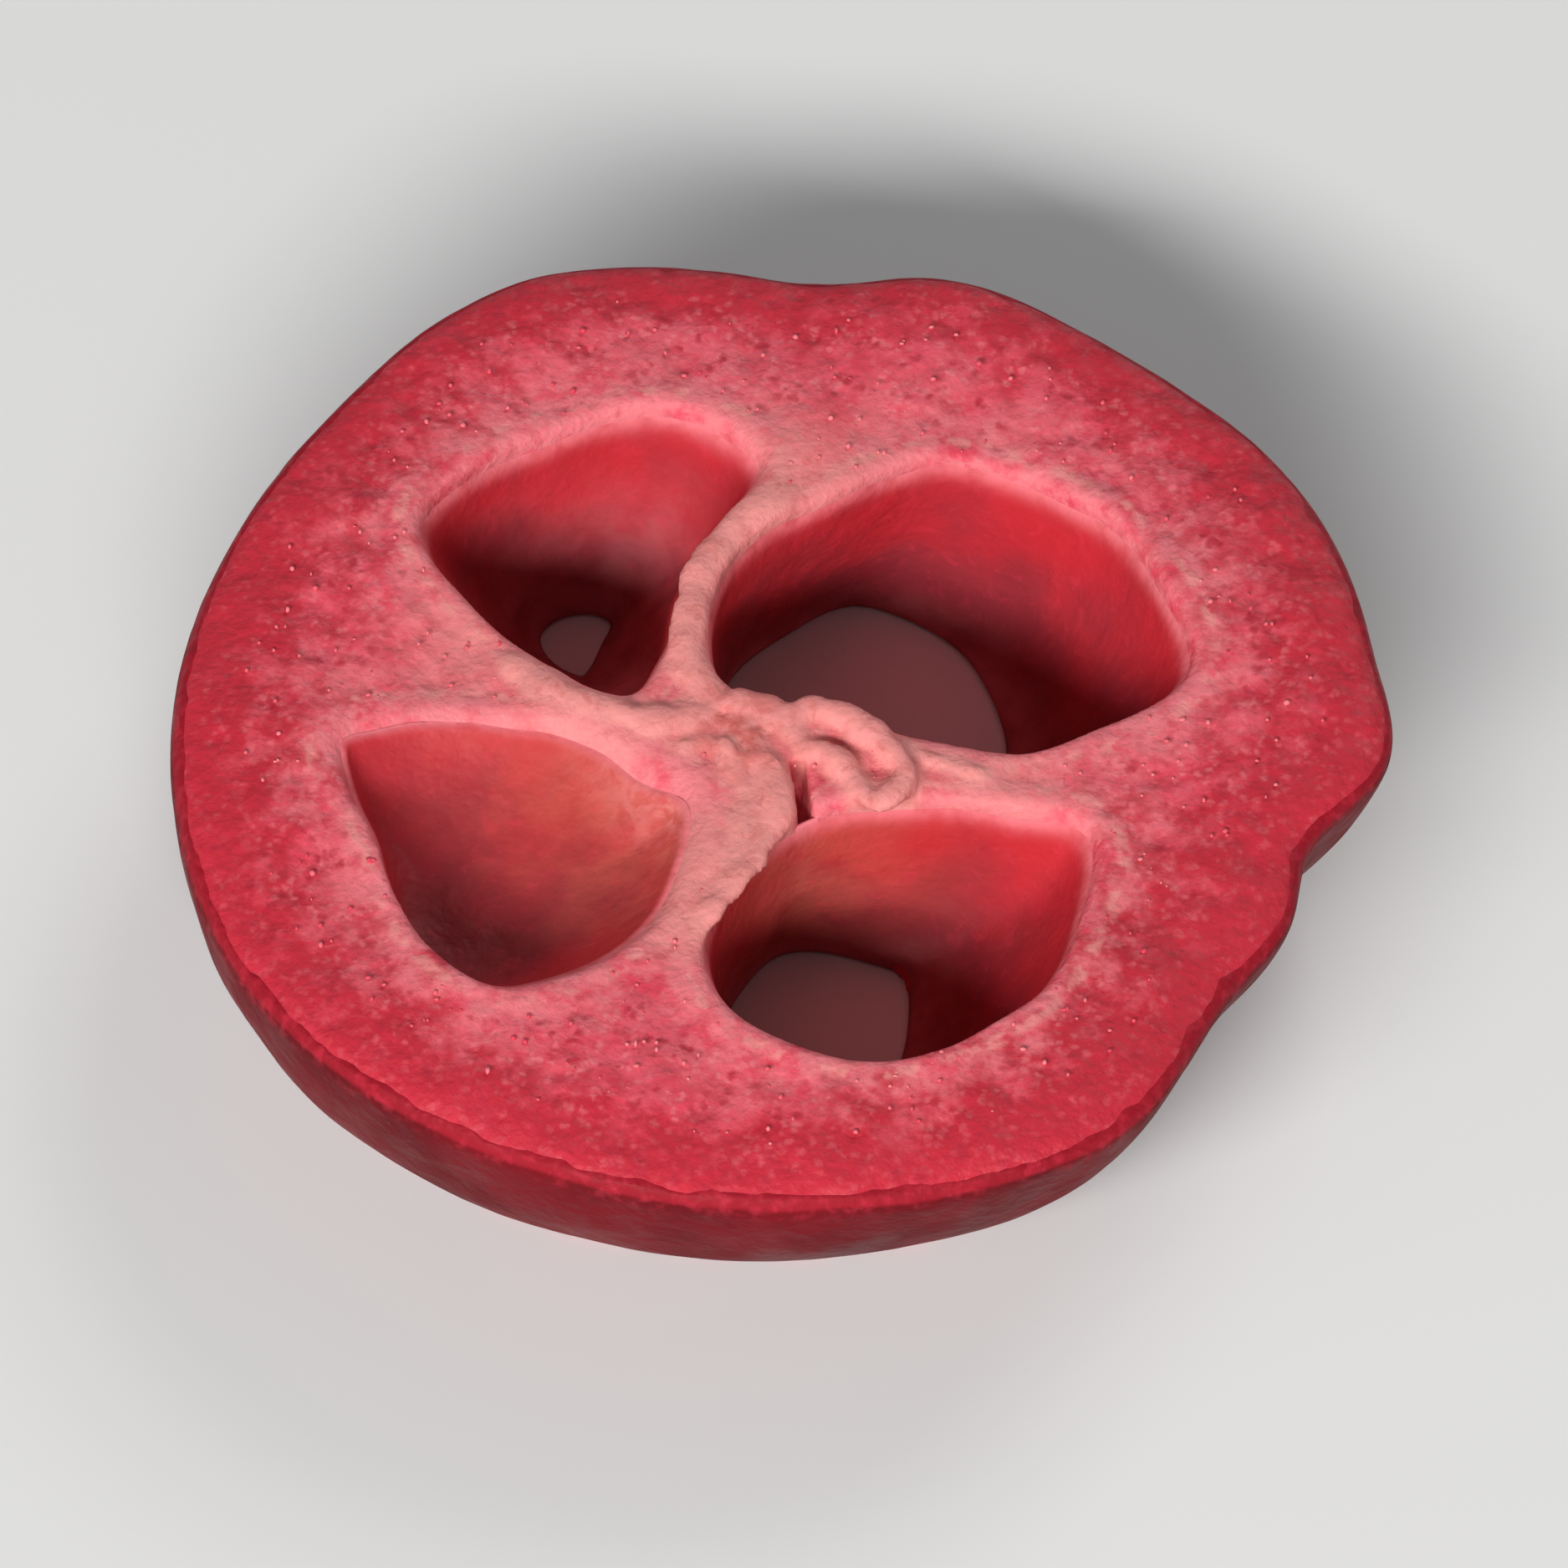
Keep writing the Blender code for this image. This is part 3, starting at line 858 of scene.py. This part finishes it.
def lining_material(colours):
    """Smooth, satin lining: red near the mouth, darkened below by painted shade, amber beside the core, and
    paler at its lower end, where the paleness is partly painted sheen.
    """
    nodes = Nodes("chamber_lining")
    amber = nodes.mask("amber")
    deep = nodes.math("ADD", nodes.mask("deep"), nodes.blotches(1.3, 0.3, 0.7, -0.18, 0.18))
    # Darker towards the bottom with depth: this is painted shade, and POCKET_SHADE makes it stronger in the
    # pocket.
    colour = nodes.mix(nodes.ramp(deep, 0.15, 0.85), colours.lining, colours.lining_painted_shade)
    beside_core = nodes.math("MULTIPLY", amber, nodes.blotches(0.6, 0.3, 0.65, 0.45, 1.0))
    colour = nodes.mix(beside_core, colour, colours.lining_core)
    streaks = nodes.ramp(nodes.noise(0.40, 4.0, 0.6, 1.2), 0.35, 0.65, 0.2, 1.0)
    streaks = nodes.math("MULTIPLY", nodes.ramp(amber, 0.50, 1.0), streaks)
    colour = nodes.mix(streaks, colour, colours.core)
    # Paler band at the lining's lower end: partly the thin membrane's own colour, partly painted glassy
    # sheen.
    thin = nodes.math("MULTIPLY", nodes.mask("thin"), nodes.blotches(0.5, 0.3, 0.65, 0.35, 0.8))
    colour = nodes.mix(thin, colour, colours.lining_thin_and_sheen)
    veins = nodes.math("MULTIPLY", nodes.ramp(nodes.noise(0.22, 4.0, 0.6, 0.8), 0.52, 0.72), 0.22)
    colour = nodes.mix(veins, colour, colours.flesh)
    edge = nodes.math("MULTIPLY", nodes.mask("edge"), nodes.blotches(0.3, 0.3, 0.6, 0.6, 1.0))
    colour = nodes.mix(edge, colour, colours.flesh_pale)
    wrinkle = nodes.bump(nodes.noise(0.45), 0.05)
    return nodes.finish(
        Base_Color=colour,
        Roughness=nodes.blotches(0.7, 0.3, 0.7, 0.42, 0.60),
        Normal=nodes.bump(nodes.noise(0.13), 0.012, wrinkle),
        Specular_IOR_Level=0.11,
    )


def crumb_material(colours):
    """Pale pink, matt grains."""
    nodes = Nodes("dry_crumbs")
    return nodes.finish(
        Base_Color=nodes.mix(nodes.blotches(0.9, 0.35, 0.65), colours.flesh, colours.flesh_pale),
        Roughness=nodes.blotches(0.2, 0.3, 0.7, 0.65, 0.85),
    )


def scatter_pores(flat, count, seed):
    """A flat map of pores: 0 on the face and 1 at a pore's bottom."""
    fx, fy = flat
    step = fx[1, 0] - fx[0, 0]
    rng = np.random.default_rng(seed)
    depth = np.zeros(fx.shape)
    for _ in range(count):
        angle = rng.uniform(0.0, math.tau)
        radius = FACE_RADIUS * math.sqrt(rng.uniform(0.0, 1.0))
        size = rng.uniform(*PORE_SIZE)
        stretch = rng.uniform(0.6, 1.0)
        turn = rng.uniform(0.0, math.pi)
        strength = rng.uniform(0.35, 1.0)
        cx, cy = radius * math.cos(angle), radius * math.sin(angle)
        start = [int((centre - fx[0, 0]) / step) - PORE_REACH for centre in (cx, cy)]
        patch = tuple(slice(first, first + 2 * PORE_REACH + 1) for first in start)
        dx, dy = fx[patch] - cx, fy[patch] - cy
        along = dx * math.cos(turn) + dy * math.sin(turn)
        beside = (dy * math.cos(turn) - dx * math.sin(turn)) / stretch
        pit = strength * hill(np.hypot(along, beside), size)
        depth[patch] = np.maximum(depth[patch], pit)
    return depth


def rim_width(angle):
    """How far the crimson flesh under the skin reaches inwards."""
    degrees = np.degrees(angle)
    right = np.exp(-0.5 * (angle_gap(degrees, -22.0) / 45.0) ** 2)
    left = np.exp(-0.5 * (angle_gap(degrees, 168.0) / 42.0) ** 2)
    return 1.05 + 1.08 * right + 0.78 * left


def cut_faces(shape, store):
    """Heights of the cut face and the underside with their relief, and their pores."""
    fx, fy = flat = store["flat"]
    maps = store["maps"]
    nearest = maps["nearest"].values
    gap = outline_radius(np.arctan2(fy, fx)) - np.hypot(fx, fy)
    calm = np.clip(nearest / CALM_BAND, 0.2, 1.0) * np.clip(gap / CALM_BAND, 0.3, 1.0)
    lip_width = shape.lip_width / MM
    wear = 1.0 + 0.6 * flat_grain(fx, fy, 0.9, 41)
    lip = hill(nearest - 0.8 * lip_width, lip_width) * wear
    crumble, crumble_below = (
        flat_grain(fx, fy, 0.42, seed) + 0.7 * flat_grain(fx, fy, 0.22, seed + 1) for seed in (42, 52)
    )
    pores = scatter_pores(flat, shape.pores, 44) * between(nearest, 0.0, 0.35) * between(gap, 0.0, 0.4)
    pores_below = scatter_pores(flat, shape.pores, 54)
    top = maps["top"].values + lip * shape.lip_height / MM
    top = top + crumble * calm * shape.grain_height / MM - pores * shape.pore_depth / MM
    bottom = maps["underside"].values + np.maximum(0.0, 0.05 * crumble_below + 0.01)
    return top, bottom + pores_below * shape.pore_depth / MM, pores, pores_below


def flesh_masks(corners, store, ribbon_gap, pores, pores_below):
    """Where the flesh takes its colours, for each corner of its mesh."""
    x, y, height = corners.T
    maps = store["maps"]

    def spread(values):
        return Grid(store["low"][:2], values, GRID_STEP).at(corners[:, :2])

    share = np.clip(1.0 - height / THICKNESS, 0.0, 1.0)
    sx, sy = x - UNDERSIDE_SHIFT[0] * share, y - UNDERSIDE_SHIFT[1] * share
    turn = np.arctan2(sy, sx)
    rim_gap = np.maximum(outline_radius(turn) * skin_share(THICKNESS * share) - np.hypot(sx, sy), 0.0)
    strand = spread(ribbon_gap)
    upper = between(height, *CORE_LEVELS)
    ribbon = hill(np.maximum(strand, 0.0), RIBBON_REACH) * upper
    partition = 1.0 - between(spread(maps["partition"].values), *WALL_WIDTHS)
    heart = hill(np.hypot(x - CORE[0], y - CORE[1]), CORE_REACH)
    creased = hill(np.hypot(x - CREASES[0], y - CREASES[1]), CREASES_REACH)
    fans = [strength * hill(np.hypot(x - px, y - py), reach) for px, py, reach, strength in FANS]
    depth = maps["top"].at(corners[:, :2]) - height
    hollow = Grid(store["low"], store["hollow"], GRID_STEP).at(corners)
    pits = np.where(height > THICKNESS / 2, spread(pores), spread(pores_below))
    return {
        "rim": hill(rim_gap, rim_width(turn), 1.7),
        "pale": hill(np.maximum(spread(maps["nearest"].values), 0.0), PALE_REACH, 1.6),
        "core": np.maximum.reduce((ribbon, 0.7 * heart, 0.8 * partition, *fans)) * (0.3 + 0.7 * upper),
        "knot": heart,
        "crease": hill(strand - CREASE_GAP, CREASE_WIDTH) * creased,
        "deep": between(depth, *LINED_DEPTHS) * (1.0 - between(hollow, *LINED_GAPS)),
        "pit": 0.65 * np.clip(pits * 1.3 - 0.30, 0.0, 1.0),
    }


def trimmed(store, top, bottom):
    """The slice's side, cut off at the heights of the cut face and the underside."""
    z = store["axes"][2]
    body = smooth_max(store["side"], z - top[:, :, None], BLEND_EDGE)
    return smooth_max(body, bottom[:, :, None] - z, BLEND_EDGE)


class CRANBERRY_OT_flesh(bpy.types.Operator):
    """Build the porous flesh with its partitions, lips and ribbons"""

    bl_idname = "cranberry.flesh"
    bl_label = "Flesh"

    def execute(self, context):
        store = fields()
        top, bottom, pores, pores_below = cut_faces(context.scene.cranberry_shape, store)
        body = smooth_max(trimmed(store, top, bottom), WALL_GAP - store["hollow"], BLEND_MOUTH)
        body = cut_slit(body, store["axes"], store["maps"]["top"])
        body, ribbon_gap = add_ribbons(body, store["axes"], store["maps"]["top"])
        corners, quads = surface_of(Grid(store["low"], body, GRID_STEP))
        masks = flesh_masks(corners, store, ribbon_gap, pores, pores_below)
        material = flesh_material(context.scene.cranberry_colours)
        dress(mesh_object("flesh", corners - MIDDLE, quads, material, masks))
        return {"FINISHED"}


def ring(angle, radius, share, height):
    """Places round the slice at heights, moved by a share of the underside's shift."""
    return np.column_stack((radius * np.cos(angle) + UNDERSIDE_SHIFT[0] * share,
                            radius * np.sin(angle) + UNDERSIDE_SHIFT[1] * share, height))


def membrane(name, rows, thickness, material, masks, capped=False):
    """A thin sheet through closed rows of places, capped where its last row is one point."""
    count, around = rows.shape[0], rows.shape[1]
    i = np.arange(count - 1)[:, None] * around
    j = np.arange(around)[None, :]
    nxt = (j + 1) % around
    quads = np.stack([i + j, i + around + j, i + around + nxt, i + nxt], -1)
    piece = mesh_object(name, rows.reshape(-1, 3) - MIDDLE, quads.reshape(-1, 4), material, masks)
    if capped:
        mesh = bmesh.new()
        mesh.from_mesh(piece.data)
        bmesh.ops.remove_doubles(mesh, verts=mesh.verts, dist=CAP_MERGE)
        mesh.to_mesh(piece.data)
        mesh.free()
    solid = piece.modifiers.new("Thickness", "SOLIDIFY")
    solid.thickness = thickness
    solid.offset = 0.0
    solid.use_even_offset = False
    evaluated = piece.evaluated_get(bpy.context.evaluated_depsgraph_get())
    data = bpy.data.meshes.new_from_object(evaluated)
    piece.modifiers.clear()
    piece.data = data
    return piece


class CRANBERRY_OT_skin(bpy.types.Operator):
    """Lay the skin round the slice's side"""

    bl_idname = "cranberry.skin"
    bl_label = "Skin"

    def execute(self, context):
        thickness = context.scene.cranberry_shape.skin_thickness
        store = fields()
        maps = store["maps"]
        field = Grid(store["low"], trimmed(store, maps["top"].values, maps["underside"].values), GRID_STEP)
        angle = np.arange(SKIN_AROUND) * math.tau / SKIN_AROUND
        edge = outline_radius(angle)
        ex, ey = edge * np.cos(angle), edge * np.sin(angle)
        over = SKIN_OVER + 0.08 * flat_grain(ex, ey, 0.40, 61) + 0.04 * flat_grain(ex, ey, 0.14, 65)
        under = SKIN_UNDER + 0.08 * flat_grain(ex, ey, 0.45, 62)
        top = maps["top"].at(np.column_stack((ex, ey)))
        over_rows, side_rows, under_rows = SKIN_ROWS
        rows = []
        for t in np.linspace(0.0, 1.0, over_rows, endpoint=False):
            place = ring(angle, edge - over * (1.0 - t), 0.0, top + 0.05)
            rows.append((place, SKIN_BURIED * (1.0 - t) ** 2, 1.0))
        for share in np.linspace(0.02, 1.0, side_rows):
            height = top * (1.0 - share) + UNDERSIDE_LIFT * share
            place = ring(angle, edge * skin_share(THICKNESS * share) + 0.03, share, height)
            rows.append((place, 0.0, hill(share, 0.10)))
        for t in np.linspace(0.0, 1.0, under_rows)[1:]:
            height = UNDERSIDE_LIFT * (1.0 - under * t / UNDERSIDE_LIFT_WIDTH) - 0.02
            place = ring(angle, edge * skin_share(THICKNESS) - under * t, 1.0, height)
            rows.append((place, SKIN_BURIED * t ** 2, 0.6 * t))
        places, buried, edges = (np.array(values) for values in zip(*rows))
        places = field.settle(places, SKIN_PROUD - buried[:, None] + np.zeros(SKIN_AROUND), 0.4)
        axes = np.moveaxis(places, -1, 0)
        fine = 0.007 * grain(*axes, 0.55, 63) + 0.003 * grain(*axes, 0.24, 64)
        places = places + field.slope(places) * fine[..., None]
        places[..., 2] = np.maximum(places[..., 2], 0.5 * thickness / MM + 0.01)
        material = skin_material(context.scene.cranberry_colours)
        dress(membrane("skin", places, thickness, material, {"edge": np.repeat(edges, SKIN_AROUND)}))
        return {"FINISHED"}


class CRANBERRY_OT_linings(bpy.types.Operator):
    """Line the four chambers"""

    bl_idname = "cranberry.linings"
    bl_label = "Chamber linings"

    def execute(self, context):
        thickness = context.scene.cranberry_shape.lining_thickness
        store = fields()
        hollow = Grid(store["low"], store["hollow"], GRID_STEP)
        material = lining_material(context.scene.cranberry_colours)
        for index, (name, chamber) in enumerate(CHAMBERS.items()):
            loop = through_points(chamber["mouth"], LINING_AROUND, closed=True)
            middle = loop.mean(axis=0)
            floor = chamber["floor"]
            is_open = floor is None
            full = THICKNESS if is_open else floor
            end = LINING_END if is_open else THICKNESS - floor + 0.12
            start = store["maps"]["top"].at(loop) - LINING_START
            start = start + 0.06 * flat_grain(*loop.T, 0.75, 71 + index)
            shares = np.linspace(0.0, 1.0, LINING_DOWN)
            rows = []
            for share in shares:
                level = start * (1.0 - share) + end * share
                shift, scale = chamber_shape(chamber, (THICKNESS - level[:, None]) / full)
                rows.append(np.column_stack((middle + shift + (loop - middle) * scale, level)))
            if not is_open:
                base = rows[-1]
                centre = base.mean(axis=0)
                closing = np.linspace(0.0, 1.0, LINING_BED)[1:]
                rows.extend(centre + (base - centre) * (1.0 - t) for t in closing)
                shares = np.append(shares, np.ones(LINING_BED - 1))
            shares = shares[:, None] + np.zeros(LINING_AROUND)
            levels = LINING_PROUD + LINING_BURIED * hill(shares, 0.05)
            settled = hollow.settle(np.stack(rows), levels, 0.45, 6)
            if is_open:
                settled[-1, :, 2] = end
            depth = (THICKNESS - settled[..., 2]) / THICKNESS
            heart = np.hypot(settled[..., 0] - CORE[0], settled[..., 1] - CORE[1])
            masks = {
                # Depth share for the lining's painted shade, raised in the pocket.
                "deep": depth if is_open else depth * POCKET_SHADE,
                "edge": hill(shares, 0.07),
                "amber": hill(heart, chamber["amber"]) * np.clip(1.5 - depth, 0.0, 1.0),
                "thin": hill(1.0 - shares, chamber["thin"]) * is_open,
            }
            masks = {label: values.ravel() for label, values in masks.items()}
            dress(membrane("lining_" + name, settled, thickness, material, masks, not is_open))
        return {"FINISHED"}


class CRANBERRY_OT_crumbs(bpy.types.Operator):
    """Scatter loose grains of dry flesh on the cut face"""

    bl_idname = "cranberry.crumbs"
    bl_label = "Crumbs"

    def execute(self, context):
        store = fields()
        top = store["maps"]["top"]
        nearest = store["maps"]["nearest"]
        rng = np.random.default_rng(301)
        mesh = bmesh.new()
        placed = 0
        while placed < context.scene.cranberry_shape.crumbs:
            angle = rng.uniform(-math.pi, math.pi)
            edge = float(outline_radius(angle))
            radius = edge * math.sqrt(rng.uniform(0.0, 1.0))
            place = np.array((radius * math.cos(angle), radius * math.sin(angle)))
            if float(nearest.at(place)) < 0.12 or radius > edge - 0.8:
                continue
            placed += 1
            size = rng.uniform(*CRUMB_SIZE)
            ball = bmesh.ops.create_icosphere(mesh, subdivisions=1, radius=1.0)
            stretch = size * rng.uniform(0.6, 1.3, 3)
            centre = np.array((*place, float(top.at(place)) + 0.6 * size)) - MIDDLE
            for corner in ball["verts"]:
                jitter = rng.uniform(0.75, 1.25)
                corner.co = Vector((np.array(corner.co) * stretch * jitter + centre) * MM)
        data = bpy.data.meshes.new("crumbs")
        mesh.to_mesh(data)
        mesh.free()
        data.materials.append(crumb_material(context.scene.cranberry_colours))
        data.shade_smooth()
        piece = bpy.data.objects.new("crumbs", data)
        context.scene.collection.objects.link(piece)
        dress(piece)
        return {"FINISHED"}


def studio_world(strength):
    """Soft light from all round, strongest near the horizon."""
    world = bpy.data.worlds.new("studio")
    world.use_nodes = True
    tree = world.node_tree
    place = new_node(tree, "TexCoord", {}).outputs["Generated"]
    height = new_node(tree, "SeparateXYZ", {"Vector": place}).outputs["Z"]
    inputs = {"Value": height, "To Min": strength, "To Max": strength * SKY_TOP_SHARE}
    fade = new_node(tree, "MapRange", inputs).outputs["Result"]
    background = tree.nodes["Background"]
    join(tree, SKY_COLOUR, background.inputs["Color"])
    join(tree, fade, background.inputs["Strength"])
    return world


class CRANBERRY_OT_stage(bpy.types.Operator):
    """Set the floor, the lights and the camera"""

    bl_idname = "cranberry.stage"
    bl_label = "Stage"

    def execute(self, context):
        stage = context.scene.cranberry_stage
        bpy.ops.mesh.primitive_plane_add(size=FLOOR_SIZE)
        floor = context.object
        floor.name = "floor"
        floor.data.materials.append(Nodes("pale_floor").finish(Base_Color=FLOOR_COLOUR, Roughness=0.6))

        context.scene.world = studio_world(stage.sky)

        for name, (azimuth, rise, distance, width, height) in LIGHTS.items():
            data = bpy.data.lights.new(name, "AREA")
            data.shape = "ELLIPSE"
            data.size = width
            data.size_y = height
            data.energy = getattr(stage, name + "_power")
            lamp = bpy.data.objects.new(name, data)
            azimuth, rise = math.radians(azimuth), math.radians(rise)
            flat = distance * math.cos(rise)
            lamp.location = (flat * math.cos(azimuth), flat * math.sin(azimuth), distance * math.sin(rise))
            lamp.rotation_euler = Vector(lamp.location).to_track_quat("Z", "Y").to_euler()
            context.scene.collection.objects.link(lamp)

        data = bpy.data.cameras.new("camera")
        data.lens = stage.distance * data.sensor_width / stage.view_width
        data.clip_start = 0.002
        data.clip_end = 10.0
        camera = bpy.data.objects.new("camera", data)
        low, high = CAD_BOX
        aim = (Vector(low) + Vector(high)) / 2
        away = Vector((0.0, -math.cos(stage.elevation), math.sin(stage.elevation)))
        camera.location = aim + away * stage.distance
        camera.rotation_euler = away.to_track_quat("Z", "Y").to_euler()
        context.scene.collection.objects.link(camera)
        context.scene.camera = camera
        context.scene.view_settings.view_transform = "Standard"
        return {"FINISHED"}


class CRANBERRY_PT_panel(bpy.types.Panel):
    """Lists the slice's pieces and settings"""

    bl_label = "Cranberry slice"
    bl_idname = "CRANBERRY_PT_panel"
    bl_space_type = "VIEW_3D"
    bl_region_type = "UI"
    bl_category = "Cranberry"

    def draw(self, context):
        scene = context.scene
        for operator in OPERATORS:
            self.layout.operator(operator.bl_idname)
        for group in (scene.cranberry_shape, scene.cranberry_colours, scene.cranberry_stage):
            box = self.layout.box()
            for name in group.__annotations__:
                box.prop(group, name)


OPERATORS = (
    CRANBERRY_OT_stage,
    CRANBERRY_OT_flesh,
    CRANBERRY_OT_skin,
    CRANBERRY_OT_linings,
    CRANBERRY_OT_crumbs,
)
GROUPS = {
    "cranberry_shape": CranberryShape,
    "cranberry_colours": CranberryColours,
    "cranberry_stage": CranberryStage,
}


def register():
    """Registers the settings, the operators and the panel."""
    for name, group in GROUPS.items():
        bpy.utils.register_class(group)
        setattr(bpy.types.Scene, name, PointerProperty(type=group))
    for operator in OPERATORS:
        bpy.utils.register_class(operator)
    bpy.utils.register_class(CRANBERRY_PT_panel)


def unregister():
    """Takes back what register added."""
    bpy.utils.unregister_class(CRANBERRY_PT_panel)
    for operator in reversed(OPERATORS):
        bpy.utils.unregister_class(operator)
    for name, group in GROUPS.items():
        delattr(bpy.types.Scene, name)
        bpy.utils.unregister_class(group)


def main():
    """Builds the slice and its stage."""
    register()
    bpy.ops.cranberry.stage()
    bpy.ops.cranberry.flesh()
    bpy.ops.cranberry.skin()
    bpy.ops.cranberry.linings()
    bpy.ops.cranberry.crumbs()


if __name__ == "__main__":
    main()
